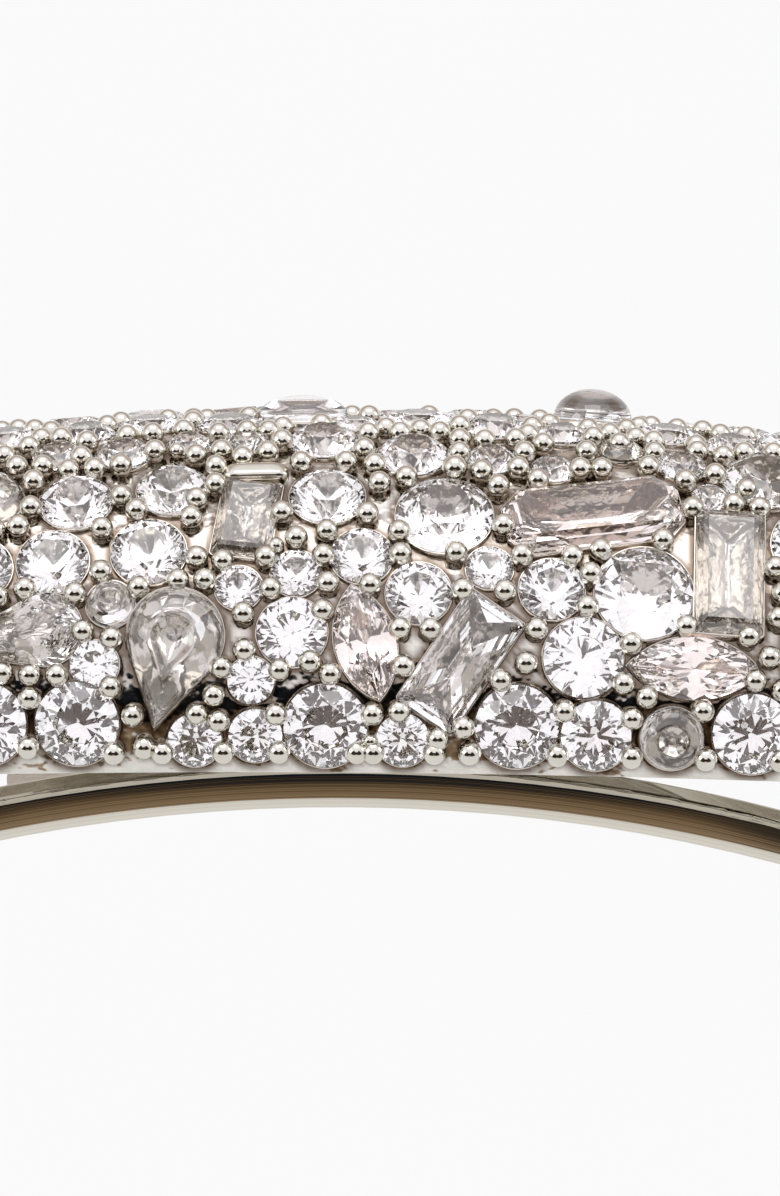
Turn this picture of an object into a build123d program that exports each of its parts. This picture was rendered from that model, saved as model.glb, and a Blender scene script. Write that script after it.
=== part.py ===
from build123d import *
from math import asin, cos, degrees, radians, sin, sqrt
import os
import random
import numpy as np

# A domed bar barrette: a cast shell paved with mixed-cut stones, closed by a plate, and fixed at its
# middle to a sprung clip of bent strip. X runs along the bar, Y from front to back and Z up, in mm.
# The origin is the centre of the footprint, at the height of the lowest points of the clip.

# ---------------------------------------------------------------- driving dimensions
HALF_LENGTH = 42.0        # the shell's plan is an ellipse's length, cut a little short of its tips
SECTION_RADIUS = 8.2      # radius of the middle cross-section, a circular arc
SECTION_ANGLE = 75.0      # that arc's half angle, in degrees
ARCH_RADIUS = 177.0       # the whole bar arches over the head on this radius
RIM_Z = 11.0              # height of the rim's lower edge at the middle
WALL = 1.2                # thickness of the cast shell
END_TURN = 80.0           # the last section stands at sin(80 degrees) of the half length
CAVITY_TURN = 66.0        # and the cavity's last section at sin(66 degrees)
TURN_STEPS = 8            # sections between the middle and each end

PLATE_RECESS = 0.3        # closing plate, inside the rim
PLATE_THICKNESS = 0.8
PLATE_CLEARANCE = 0.06
PLATE_TURN = 64.5

BASE_RADIUS = 70.0        # bend of the clip's upper strip, measured on its top face
BASE_TOP = -0.2           # its top face at the middle, from the rim
BASE_THICKNESS = 0.8
BASE_HALF_WIDTH = 3.65
BASE_LEFT, BASE_RIGHT = -29.5, 28.1
PAD_HALF_LENGTH, PAD_HALF_WIDTH = 6.5, 3.0
RIVET_X, RIVET_RADIUS, RIVET_HEAD_RADIUS, RIVET_HEAD = 4.0, 0.6, 1.1, 0.35
RIVET_CLEARANCE = 0.02

ARM_RADIUS = 44.5         # bend of the clip's lower arm, on its middle plane
ARM_CENTRE_X = -1.0
ARM_MIDDLE = -3.25        # middle plane at the crown of the arm, from the rim
ARM_THICKNESS = 1.3
ARM_HALF_WIDTH = 4.0
ARM_BEND_HALF = 13.0      # the bend reaches this far each side of its crown, then runs straight
RAIL_WIDTH = 1.3
RAIL_LEAN_HEIGHT, RAIL_LEAN = 0.9, 0.36   # the arm's outer face leans in by this, over this height
RAIL_ROUND = 0.24
RAIL_EDGE_LENGTH = 9.0      # rail edges longer than this are rounded
ARM_END_X = -30.6
SLOT_LEFT, SLOT_RIGHT = -22.9, 21.5
WINDOW_LEFT, WINDOW_RIGHT, WINDOW_ROUND = -29.3, -24.3, 0.6
NECK_START, NECK_END = 23.9, 25.1

PIN_X, PIN_Z, PIN_RADIUS = 27.0, -9.9, 0.5
PIN_CLEARANCE = 0.03
KNUCKLE_RADIUS, KNUCKLE_HALF_WIDTH = 1.1, 2.6
EAR_INNER = 2.75
PIN_HEAD_RADIUS, PIN_HEAD = 0.75, 0.35

LEAF_THICKNESS, LEAF_HALF_WIDTH = 0.35, 2.4
LEAF_ROOT_X, LEAF_TAB_RIGHT, LEAF_RIVET_X, LEAF_TIP_X = 18.35, 22.6, 20.5, -11.7
LEAF_GAP, LEAF_DROP = 0.1, 0.04     # clear of the tab's end, and of the base over it
LEAF_RUN = ((14.0, -3.0), (9.0, -2.95), (4.0, -3.35), (-1.0, -4.1), (-6.5, -5.0), (-12.0, -5.75))

SADDLE_LEFT, SADDLE_RIGHT, SADDLE_BOTTOM = -28.6, -25.2, -7.9
SADDLE_SHEET = 0.4
WING_OUTER = 2.5          # outer face of the catch legs, from the middle plane
WING_GAP = 0.1
WING_ROUND = 0.9
BUMP_RADIUS, BUMP_PROUD, BUMP_Z = 0.6, 0.24, -10.2
CATCH_RIVET_X, SMALL_RIVET_RADIUS, SMALL_HEAD_RADIUS, SMALL_HEAD = -26.9, 0.5, 0.9, 0.28

GLUE_GAP = 0.05           # under each stone
GIRDLE = 0.1              # straight edge of a cut stone
CROWN = 0.15              # crown height, as a share of the stone's width
TABLE = 0.56              # table, as a share of its outline
STONE_GAP = 0.08          # least gap between two stones
STONE_LIMIT = 72.6        # the paving stops at this angle, above the plain rim
STONE_END = 40.9          # and at this distance from the middle

# Stones are placed by their distance along the bar and their angle from the crown of the section
# towards the front, then length, width, and the turn of their long axis, anticlockwise from +X as
# seen from outside. A pear points along its turn.
ROUNDS = (
    (-12.0, 63.0, 2.5), (-9.25, 63.3, 2.5), (-5.75, 67.1, 1.6), (-3.95, 66.2, 1.6),
    (-1.88, 64.1, 2.5), (0.42, 67.0, 1.6), (3.8, 63.8, 2.5), (6.15, 65.3, 2.1),
    (8.4, 65.4, 1.9), (10.8, 63.8, 2.4), (13.1, 66.0, 1.75), (-8.3, 38.0, 1.45),
    (-8.75, 51.0, 1.45), (-2.9, 44.8, 2.1), (-4.1, 54.8, 1.4), (-4.5, 35.1, 1.4),
    (-2.8, 32.0, 1.5), (-0.85, 28.0, 1.85), (0.85, 36.3, 1.95), (2.95, 30.3, 1.4),
    (4.8, 34.7, 1.95), (7.55, 34.7, 2.95), (5.75, 49.2, 2.4), (-7.2, 26.3, 2.25),
    (-10.05, 27.8, 2.15), (-9.42, 12.0, 2.2), (-6.53, 9.6, 2.15), (-12.35, 10.5, 2.75),
    (-12.3, 28.5, 2.1), (-1.9, 12.5, 2.25), (1.6, 17.5, 2.9), (3.0, -0.5, 1.5),
    (4.85, 2.0, 1.3), (0.65, -1.5, 2.2), (-2.05, -7.5, 2.1), (-4.4, -7.0, 1.4),
    (-8.05, -4.0, 1.7), (-10.0, -5.0, 1.6), (8.75, -2.0, 1.5), (9.55, 8.5, 1.1),
    (11.25, 1.5, 2.7), (6.9, -7.0, 1.4), (-6.1, -7.5, 1.3), (0.8, -22.5, 2.2),
    (3.1, -17.0, 1.9), (5.15, -14.0, 1.5), (-7.3, -22.5, 2.0), (12.3, -22.0, 2.4),
    (8.4, -20.0, 2.0), (-11.7, -19.5, 2.0),
)
PEARS = (
    (-6.5, 49.7, 4.2, 2.9, 256.5), (-11.3, 44.5, 4.4, 2.2, 190.0), (-19.6, 38.0, 4.0, 2.8, 60.0),
    (22.4, 44.0, 4.0, 2.8, 120.0), (-16.0, -42.0, 4.0, 2.8, 20.0), (17.5, -50.0, 4.0, 2.8, 200.0),
    (31.5, 20.0, 3.4, 2.4, 10.0), (-32.0, -10.0, 3.4, 2.4, 170.0), (1.0, -52.0, 4.0, 2.8, 150.0),
)
MARQUISES = (
    (-0.72, 47.0, 3.55, 1.85, 104.0), (9.05, 50.5, 4.0, 1.9, 0.0), (-16.5, 14.0, 4.0, 2.0, 35.0),
    (16.2, 30.0, 4.0, 2.0, 70.0), (-24.5, 8.0, 4.0, 2.0, 95.0), (26.5, -6.0, 4.0, 2.0, 20.0),
    (9.0, -44.0, 4.0, 2.0, 75.0), (-9.5, -56.0, 4.0, 2.0, 10.0), (-28.5, 42.0, 4.0, 1.9, 150.0),
    (29.0, 48.0, 4.0, 1.9, 40.0), (-24.0, -46.0, 4.0, 2.0, 120.0), (34.5, -28.0, 3.2, 1.6, 15.0),
)
BAGUETTES = (
    (10.1, 28.6, 4.15, 2.05, 90.0), (2.12, 50.6, 3.95, 1.95, 57.0), (-20.5, -22.0, 4.0, 2.0, 15.0),
    (21.0, 4.0, 4.0, 2.0, 60.0), (-4.6, -54.0, 4.0, 2.0, 80.0), (25.5, -46.0, 4.0, 2.0, 100.0),
    (-35.0, 24.0, 3.2, 1.6, 70.0),
)
RADIANTS = ((6.05, 16.0, 5.35, 2.45, 12.0),)
STEP_CUTS = ((-4.3, 18.5, 2.85, 1.75, 81.4),)
OVALS = ((12.95, 45.0, 3.5, 2.5, 82.0), (-14.6, 57.5, 3.0, 2.0, 75.0), (19.0, -22.0, 3.0, 2.2, 40.0))
CABOCHONS = ((-2.7, -28.5, 2.8, 2.7, 0.0), (6.1, -31.0, 2.9, 2.4, 90.0), (-22.0, 58.0, 2.6, 2.2, 0.0))
CABOCHON_RISE = 0.34      # height of a cabochon, as a share of its width
CABOCHON_RINGS = (0, 25, 50, 70)
CUT_CORNER = 0.25         # corner cut of the long radiant, as a share of its width
DISC_STEPS = 3            # discs each side of the middle that stand for a long stone in the filling

FILL_SIZES = (3.0, 2.5, 2.25, 2.5, 1.75, 2.25, 2.0, 1.5, 2.75, 1.75, 2.0, 1.5)
FILL_SEED = 7
PATCH_SIZES = (1.75, 1.5, 1.3)
FILL_ROUNDS, PATCH_ROUNDS = 30, 40
FILL_TILT = 0.02          # how much a free place near the crown is preferred
GRID_STEP = 0.16          # spacing of the trial places, mm
CLEAR_X = (-12.6, 12.6)   # the hand-set patch, which the filling leaves as it is
CLEAR_ANGLE = -8.0
SIZE_CLASSES = {"round_stones_large": 2.55, "round_stones_medium": 2.12,
                "round_stones_small": 1.72, "round_stones_tiny": 0.0}


# ---------------------------------------------------------------- shell surface
def section_radius(x):
    return SECTION_RADIUS * sqrt(1 - (x / HALF_LENGTH) ** 2)


def rim_height(x):
    return RIM_Z - ARCH_RADIUS + sqrt(ARCH_RADIUS**2 - x**2)


def surface_point(x, angle):
    r, a = section_radius(x), radians(angle)
    return Vector(x, -r * sin(a), rim_height(x) + r * (cos(a) - cos(radians(SECTION_ANGLE))))


def surface_frame(x, angle):
    """Point, direction along the bar, direction up the section and outward normal."""
    step = 0.01
    point = surface_point(x, angle)
    along = (surface_point(x + step, angle) - surface_point(x - step, angle)).normalized()
    up = (surface_point(x, angle - 1) - surface_point(x, angle + 1)).normalized()
    return point, along, along.cross(up).normalized()


def stone_plane(x, angle, turn):
    point, along, normal = surface_frame(x, angle)
    direction = along.rotate(Axis((0, 0, 0), normal), turn)
    return Plane(origin=point + normal * GLUE_GAP, x_dir=direction, z_dir=normal)


def stations(last_turn):
    turns = [last_turn * step / TURN_STEPS for step in range(-TURN_STEPS, TURN_STEPS + 1)]
    return [HALF_LENGTH * sin(radians(turn)) for turn in turns]


def section_arch(x, inset):
    """D-shaped section of the shell at x, moved in by the inset, drawn in Y and Z."""
    r, a = section_radius(x), radians(SECTION_ANGLE)
    centre, reach = rim_height(x) - r * cos(a), r - inset
    foot = (reach * sin(a), centre + reach * cos(a))
    with BuildSketch() as section:
        with BuildLine():
            ThreePointArc((-foot[0], foot[1]), (0, centre + reach), foot)
            Line(foot, (-foot[0], foot[1]))
        make_face()
    return section.sketch


with BuildPart() as dome_shell:
    for x in stations(END_TURN):
        with BuildSketch(Plane.YZ.offset(x)):
            add(section_arch(x, 0))
    loft()
    for x in stations(CAVITY_TURN):
        with BuildSketch(Plane.YZ.offset(x)):
            add(section_arch(x, WALL))
    loft(mode=Mode.SUBTRACT)


def plate_section(x):
    """Section of the closing plate at x, a little clear of the shell's inner wall."""
    r, base = section_radius(x), rim_height(x)
    reach, centre_drop = r - WALL - PLATE_CLEARANCE, r * cos(radians(SECTION_ANGLE))
    low = sqrt(reach**2 - (centre_drop + PLATE_RECESS) ** 2)
    high = sqrt(reach**2 - (centre_drop + PLATE_RECESS + PLATE_THICKNESS) ** 2)
    low_z, high_z = base + PLATE_RECESS, base + PLATE_RECESS + PLATE_THICKNESS
    with BuildSketch() as section:
        with BuildLine():
            Polyline((-low, low_z), (low, low_z), (high, high_z), (-high, high_z), close=True)
        make_face()
    return section.sketch


with BuildPart() as back_plate:
    for x in stations(PLATE_TURN):
        with BuildSketch(Plane.YZ.offset(x)):
            add(plate_section(x))
    loft()
    with BuildSketch():
        with Locations((-RIVET_X, 0), (RIVET_X, 0)):
            Circle(RIVET_RADIUS + RIVET_CLEARANCE)
    extrude(amount=2 * RIM_Z, mode=Mode.SUBTRACT)


# ---------------------------------------------------------------- clip base
def on_arc(x, radius):
    """Point at x on an arc concentric with the base strip's bend, in the XZ plane."""
    return (x, RIM_Z + BASE_TOP - BASE_RADIUS + sqrt(radius**2 - x**2))


def bent_strip(left, right, outer, inner):
    """Side outline of a strip bent concentrically with the base."""
    middle = (left + right) / 2
    with BuildSketch() as strip:
        with BuildLine():
            ThreePointArc(on_arc(left, outer), on_arc(middle, outer), on_arc(right, outer))
            Line(on_arc(right, outer), on_arc(right, inner))
            ThreePointArc(on_arc(right, inner), on_arc(middle, inner), on_arc(left, inner))
            Line(on_arc(left, inner), on_arc(left, outer))
        make_face()
    return strip.sketch


def strip_plane(x, radius):
    """Plane tangent to a bent strip at x, facing out of its bend."""
    px, pz = on_arc(x, radius)
    lean = asin(x / radius)
    return Plane(origin=(px, 0, pz), x_dir=(cos(lean), 0, -sin(lean)), z_dir=(sin(lean), 0, cos(lean)))


BASE_UNDER = BASE_RADIUS - BASE_THICKNESS
PIN_HEIGHT = RIM_Z + PIN_Z
EAR_MIDDLE = (EAR_INNER + BASE_HALF_WIDTH) / 2
EAR_TOP = on_arc(PIN_X, BASE_UNDER)[1]

with BuildPart() as clip_base:
    with BuildSketch(Plane.XZ):
        add(bent_strip(BASE_LEFT, BASE_RIGHT, BASE_RADIUS, BASE_UNDER))
    extrude(amount=BASE_HALF_WIDTH, both=True)
    for side in (-1, 1):
        with BuildSketch(Plane.XZ.offset(side * EAR_MIDDLE)):
            with Locations((PIN_X, PIN_HEIGHT)):
                Circle(KNUCKLE_RADIUS)
            with Locations((PIN_X, (PIN_HEIGHT + EAR_TOP) / 2)):
                Rectangle(2 * KNUCKLE_RADIUS, EAR_TOP - PIN_HEIGHT)
        extrude(amount=BASE_HALF_WIDTH - EAR_MIDDLE, both=True)
    with BuildSketch():
        with Locations((-RIVET_X, 0), (RIVET_X, 0)):
            Circle(RIVET_RADIUS + RIVET_CLEARANCE)
    extrude(amount=2 * RIM_Z, mode=Mode.SUBTRACT)
    for x in (LEAF_RIVET_X, CATCH_RIVET_X):
        with BuildSketch(strip_plane(x, BASE_RADIUS)):
            Circle(SMALL_RIVET_RADIUS + RIVET_CLEARANCE)
        extrude(amount=2 * BASE_THICKNESS, both=True, mode=Mode.SUBTRACT)
    with BuildSketch(Plane.XZ):
        with Locations((PIN_X, PIN_HEIGHT)):
            Circle(PIN_RADIUS)
    extrude(amount=2 * ARM_HALF_WIDTH, both=True, mode=Mode.SUBTRACT)

PAD_TOP = [(x, rim_height(x) + PLATE_RECESS) for x in (-PAD_HALF_LENGTH, 0, PAD_HALF_LENGTH)]
PAD_UNDER = [on_arc(x, BASE_RADIUS) for x in (PAD_HALF_LENGTH, 0, -PAD_HALF_LENGTH)]

with BuildPart() as mount_pad:
    with BuildSketch(Plane.XZ):
        with BuildLine():
            ThreePointArc(*PAD_TOP)
            Line(PAD_TOP[-1], PAD_UNDER[0])
            ThreePointArc(*PAD_UNDER)
            Line(PAD_UNDER[-1], PAD_TOP[0])
        make_face()
    extrude(amount=PAD_HALF_WIDTH, both=True)
    with BuildSketch():
        with Locations((-RIVET_X, 0), (RIVET_X, 0)):
            Circle(RIVET_RADIUS + RIVET_CLEARANCE)
    extrude(amount=2 * RIM_Z, mode=Mode.SUBTRACT)

LOWER_HEAD_Z = on_arc(RIVET_X + RIVET_HEAD_RADIUS, BASE_UNDER)[1] - RIVET_HEAD
UPPER_HEAD_Z = RIM_Z + PLATE_RECESS + PLATE_THICKNESS

with BuildPart() as base_rivets:
    for bottom, radius, height in (
        (LOWER_HEAD_Z, RIVET_RADIUS, UPPER_HEAD_Z - LOWER_HEAD_Z + RIVET_HEAD),
        (LOWER_HEAD_Z, RIVET_HEAD_RADIUS, RIVET_HEAD),
        (UPPER_HEAD_Z, RIVET_HEAD_RADIUS, RIVET_HEAD),
    ):
        with BuildSketch(Plane.XY.offset(bottom)):
            with Locations((-RIVET_X, 0), (RIVET_X, 0)):
                Circle(radius)
        extrude(amount=height)

with BuildPart() as hinge_pin:
    with BuildSketch(Plane.XZ):
        with Locations((PIN_X, PIN_HEIGHT)):
            Circle(PIN_RADIUS)
    extrude(amount=BASE_HALF_WIDTH + PIN_HEAD, both=True)
    for side in (-1, 1):
        with BuildSketch(Plane.XZ.offset(side * (BASE_HALF_WIDTH + PIN_HEAD / 2))):
            with Locations((PIN_X, PIN_HEIGHT)):
                Circle(PIN_HEAD_RADIUS)
        extrude(amount=PIN_HEAD / 2, both=True)


def small_rivet(x, sheet):
    """Rivet square to the base strip at x, holding a sheet under it, with a head at each end."""
    top = strip_plane(x, BASE_RADIUS)
    depth = BASE_THICKNESS + sheet
    with BuildPart() as rivet:
        with BuildSketch(top.offset(SMALL_HEAD)):
            Circle(SMALL_RIVET_RADIUS)
        extrude(amount=-(depth + 2 * SMALL_HEAD))
        for level in (0, -depth - SMALL_HEAD):
            with BuildSketch(top.offset(level)):
                Circle(SMALL_HEAD_RADIUS)
            extrude(amount=SMALL_HEAD)
    return rivet


leaf_rivet = small_rivet(LEAF_RIVET_X, LEAF_THICKNESS)
catch_rivet = small_rivet(CATCH_RIVET_X, SADDLE_SHEET)

# ---------------------------------------------------------------- tension leaf
with BuildPart() as leaf_anchor_tab:
    with BuildSketch(Plane.XZ):
        add(bent_strip(LEAF_ROOT_X, LEAF_TAB_RIGHT, BASE_UNDER, BASE_UNDER - LEAF_THICKNESS))
    extrude(amount=LEAF_HALF_WIDTH, both=True)
    with BuildSketch(strip_plane(LEAF_RIVET_X, BASE_RADIUS)):
        Circle(SMALL_RIVET_RADIUS + RIVET_CLEARANCE)
    extrude(amount=2 * BASE_THICKNESS, both=True, mode=Mode.SUBTRACT)

LEAF_ROOT_Z = on_arc(LEAF_ROOT_X, BASE_UNDER - LEAF_THICKNESS / 2)[1] - LEAF_DROP
LEAF_POINTS = [(LEAF_ROOT_X - LEAF_GAP, LEAF_ROOT_Z)] + [(x, RIM_Z + z) for x, z in LEAF_RUN]

with BuildPart() as tension_leaf:
    with BuildLine(Plane.XZ) as leaf_path:
        Spline(*LEAF_POINTS)
    leaf_line = leaf_path.edges()[0]
    with BuildSketch(Plane(origin=leaf_line @ 0, x_dir=(0, 1, 0), z_dir=leaf_line % 0)):
        Rectangle(2 * LEAF_HALF_WIDTH, LEAF_THICKNESS)
    sweep()
    with BuildSketch():
        with Locations(((LEAF_TIP_X + LEAF_ROOT_X) / 2, 0)):
            SlotOverall(LEAF_ROOT_X - LEAF_TIP_X, 2 * LEAF_HALF_WIDTH)
        with Locations(((LEAF_TIP_X + 3 * LEAF_ROOT_X) / 4, 0)):
            Rectangle((LEAF_ROOT_X - LEAF_TIP_X) / 2, 2 * LEAF_HALF_WIDTH)
    extrude(amount=RIM_Z, mode=Mode.INTERSECT)

# ---------------------------------------------------------------- catch
with BuildPart() as catch_saddle:
    with BuildSketch(Plane.XZ):
        with BuildLine():
            ends = on_arc(SADDLE_LEFT, BASE_UNDER), on_arc(SADDLE_RIGHT, BASE_UNDER)
            ThreePointArc(ends[0], on_arc((SADDLE_LEFT + SADDLE_RIGHT) / 2, BASE_UNDER), ends[1])
            foot = RIM_Z + SADDLE_BOTTOM
            Polyline(ends[1], (SADDLE_RIGHT, foot), (SADDLE_LEFT, foot), ends[0])
        make_face()
    extrude(amount=WING_OUTER, both=True)
    with BuildSketch(Plane.XZ):
        add(bent_strip(SADDLE_LEFT - 1, SADDLE_RIGHT + 1, BASE_UNDER - SADDLE_SHEET, BASE_UNDER - RIM_Z))
    extrude(amount=WING_OUTER - SADDLE_SHEET, both=True, mode=Mode.SUBTRACT)
    with BuildSketch(strip_plane(CATCH_RIVET_X, BASE_RADIUS)):
        Circle(SMALL_RIVET_RADIUS + RIVET_CLEARANCE)
    extrude(amount=2 * BASE_THICKNESS, both=True, mode=Mode.SUBTRACT)

WING_X = (SADDLE_LEFT + SADDLE_RIGHT) / 2
WING_TOP = RIM_Z + SADDLE_BOTTOM - WING_GAP


def squeeze_wing(side):
    """Sprung leg of the catch, with its bump outwards; side is -1 at the front and 1 at the back."""
    with BuildPart() as wing:
        with BuildSketch(Plane.XZ.offset(-side * (WING_OUTER - SADDLE_SHEET / 2))):
            with Locations((WING_X, WING_TOP / 2)):
                Rectangle(SADDLE_RIGHT - SADDLE_LEFT, WING_TOP)
        extrude(amount=SADDLE_SHEET / 2, both=True)
        fillet(wing.edges().filter_by(Axis.Y).group_by(Axis.Z)[0], WING_ROUND)
        with Locations((WING_X, side * (WING_OUTER + BUMP_PROUD - BUMP_RADIUS), RIM_Z + BUMP_Z)):
            Sphere(BUMP_RADIUS)
        with BuildSketch(Plane.XZ.offset(-side * (WING_OUTER - SADDLE_SHEET))):
            with Locations((WING_X, WING_TOP / 2)):
                Rectangle(WING_TOP * 2, WING_TOP * 2)
        extrude(amount=side * WING_OUTER, mode=Mode.SUBTRACT)
    return wing


squeeze_wing_front = squeeze_wing(-1)
squeeze_wing_back = squeeze_wing(1)

# ---------------------------------------------------------------- clip arm
BEND = asin(ARM_BEND_HALF / ARM_RADIUS)
BEND_CENTRE_Z = RIM_Z + ARM_MIDDLE - ARM_RADIUS


def arm_point(radius, x_end):
    """Where the arm's straight end, drawn at this radius from the bend's centre, reaches x_end."""
    side = 1 if x_end > ARM_CENTRE_X else -1
    start_x = ARM_CENTRE_X + side * radius * sin(BEND)
    start_z = BEND_CENTRE_Z + radius * cos(BEND)
    run = abs(x_end - start_x)
    return (start_x, start_z), (x_end, start_z - run * sin(BEND) / cos(BEND))


def arm_face(radius):
    """Left end, bend's left, crown, bend's right and right end of one face of the arm."""
    left_start, left_end = arm_point(radius, ARM_END_X)
    right_start, right_end = arm_point(radius, PIN_X)
    return left_end, left_start, (ARM_CENTRE_X, BEND_CENTRE_Z + radius), right_start, right_end


with BuildPart() as clip_arm:
    upper = arm_face(ARM_RADIUS + ARM_THICKNESS / 2)
    lower = arm_face(ARM_RADIUS - ARM_THICKNESS / 2)
    with BuildSketch(Plane.XZ):
        with BuildLine():
            for face in (upper, lower):
                Line(face[0], face[1])
                ThreePointArc(face[1], face[2], face[3])
                Line(face[3], face[4])
            Line(upper[0], lower[0])
            Line(upper[4], lower[4])
        make_face()
    extrude(amount=ARM_HALF_WIDTH, both=True)
    with BuildSketch():
        with BuildLine():
            Polyline(
                (ARM_END_X, ARM_HALF_WIDTH), (NECK_START, ARM_HALF_WIDTH),
                (NECK_END, KNUCKLE_HALF_WIDTH), (PIN_X, KNUCKLE_HALF_WIDTH),
                (PIN_X, -KNUCKLE_HALF_WIDTH), (NECK_END, -KNUCKLE_HALF_WIDTH),
                (NECK_START, -ARM_HALF_WIDTH), (ARM_END_X, -ARM_HALF_WIDTH), close=True,
            )
        arm_plan = make_face()
        fillet(arm_plan.vertices().group_by(Axis.X)[0], ARM_HALF_WIDTH / 2)
        with Locations(((SLOT_LEFT + SLOT_RIGHT) / 2, 0)):
            inner = 2 * (ARM_HALF_WIDTH - RAIL_WIDTH)
            RectangleRounded(SLOT_RIGHT - SLOT_LEFT, inner, WINDOW_ROUND, mode=Mode.SUBTRACT)
        with Locations(((WINDOW_LEFT + WINDOW_RIGHT) / 2, 0)):
            RectangleRounded(WINDOW_RIGHT - WINDOW_LEFT, inner, WINDOW_ROUND, mode=Mode.SUBTRACT)
    extrude(amount=RIM_Z, mode=Mode.INTERSECT)
    front_face = clip_arm.faces().filter_by(Axis.Y).sort_by(Axis.Y)[0]
    front_crown = front_face.edges().filter_by(GeomType.CIRCLE).sort_by(Axis.Z)[-1]
    chamfer(front_crown, RAIL_LEAN_HEIGHT, RAIL_LEAN, reference=front_face)   # runs on round the arm's end
    rail_edges = clip_arm.edges().filter_by(lambda e: e.length > RAIL_EDGE_LENGTH)
    fillet(rail_edges, RAIL_ROUND)
    with BuildSketch(Plane.XZ):
        with Locations((PIN_X, PIN_HEIGHT)):
            Circle(KNUCKLE_RADIUS)
    extrude(amount=KNUCKLE_HALF_WIDTH, both=True)
    with BuildSketch(Plane.XZ):
        with Locations((PIN_X, PIN_HEIGHT)):
            Circle(PIN_RADIUS + PIN_CLEARANCE)
    extrude(amount=ARM_HALF_WIDTH, both=True, mode=Mode.SUBTRACT)


# ---------------------------------------------------------------- stone outlines
def round_outline(length, width):
    with BuildSketch() as outline:
        Circle(width / 2)
    return outline.sketch


def oval_outline(length, width):
    with BuildSketch() as outline:
        Ellipse(length / 2, width / 2)
    return outline.sketch


def marquise_outline(length, width):
    tip, belly = (length / 2, 0), width / 2
    with BuildSketch() as outline:
        with BuildLine():
            ThreePointArc((-tip[0], 0), (0, belly), tip)
            ThreePointArc(tip, (0, -belly), (-tip[0], 0))
        make_face()
    return outline.sketch


def pear_outline(length, width):
    """Round end at -X, with sides that leave it tangentially and meet at the tip."""
    radius = width / 2
    centre, tip = -(length / 2 - radius), length / 2
    lean = radius / (tip - centre)
    touch = (centre + radius * lean, radius * sqrt(1 - lean**2))
    with BuildSketch() as outline:
        with BuildLine():
            ThreePointArc(touch, (centre - radius, 0), (touch[0], -touch[1]))
            Polyline((touch[0], -touch[1]), (tip, 0), touch)
        make_face()
    return outline.sketch


def bar_outline(length, width):
    with BuildSketch() as outline:
        Rectangle(length, width)
    return outline.sketch


def cut_corner_outline(length, width):
    corner = width * CUT_CORNER
    with BuildSketch() as outline:
        chamfer(Rectangle(length, width).vertices(), corner)
    return outline.sketch


def cut_stone(outline, length, width):
    """Flat-backed stone: a thin girdle and a crown that narrows to the table."""
    table_level = GIRDLE + CROWN * width
    with BuildPart() as stone:
        with BuildSketch():
            add(outline(length, width))
        extrude(amount=GIRDLE)
        with BuildSketch(Plane.XY.offset(GIRDLE)):
            add(outline(length, width))
        with BuildSketch(Plane.XY.offset(table_level)):
            add(outline(length - width * (1 - TABLE), width * TABLE))
        loft()
    return stone.part


def cabochon(outline, length, width):
    """Flat-backed stone with a rounded top, in rings of an ellipse."""
    with BuildPart() as stone:
        for turn in CABOCHON_RINGS:
            with BuildSketch(Plane.XY.offset(CABOCHON_RISE * width * sin(radians(turn)))):
                add(outline(length * cos(radians(turn)), width * cos(radians(turn))))
        loft()
    return stone.part


# ---------------------------------------------------------------- filling the rest of the shell
def stone_discs(outline, x, angle, length, width, turn):
    """Discs along a stone's long axis that together cover its outline."""
    point, along, normal = surface_frame(x, angle)
    direction = along.rotate(Axis((0, 0, 0), normal), turn)
    reach = (length - width) / 2
    discs = []
    for step in range(-DISC_STEPS, DISC_STEPS + 1):
        offset = reach * step / DISC_STEPS
        narrowing = offset + reach if outline is pear_outline else abs(offset)
        discs.append((point + direction * offset, width / 2 - DISC_TAPER[outline] * narrowing / 2))
    return discs


FANCY = (
    ("pear_stones", pear_outline, cut_stone, PEARS),
    ("marquise_stones", marquise_outline, cut_stone, MARQUISES),
    ("baguette_stones", bar_outline, cut_stone, BAGUETTES),
    ("radiant_stone", cut_corner_outline, cut_stone, RADIANTS),
    ("step_cut_stone", bar_outline, cut_stone, STEP_CUTS),
    ("oval_stones", oval_outline, cut_stone, OVALS),
    ("cabochon_stones", oval_outline, cabochon, CABOCHONS),
)
DISC_TAPER = {pear_outline: 0.5, marquise_outline: 0.55, bar_outline: 0.0,
              cut_corner_outline: 0.0, oval_outline: 0.3}


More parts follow.
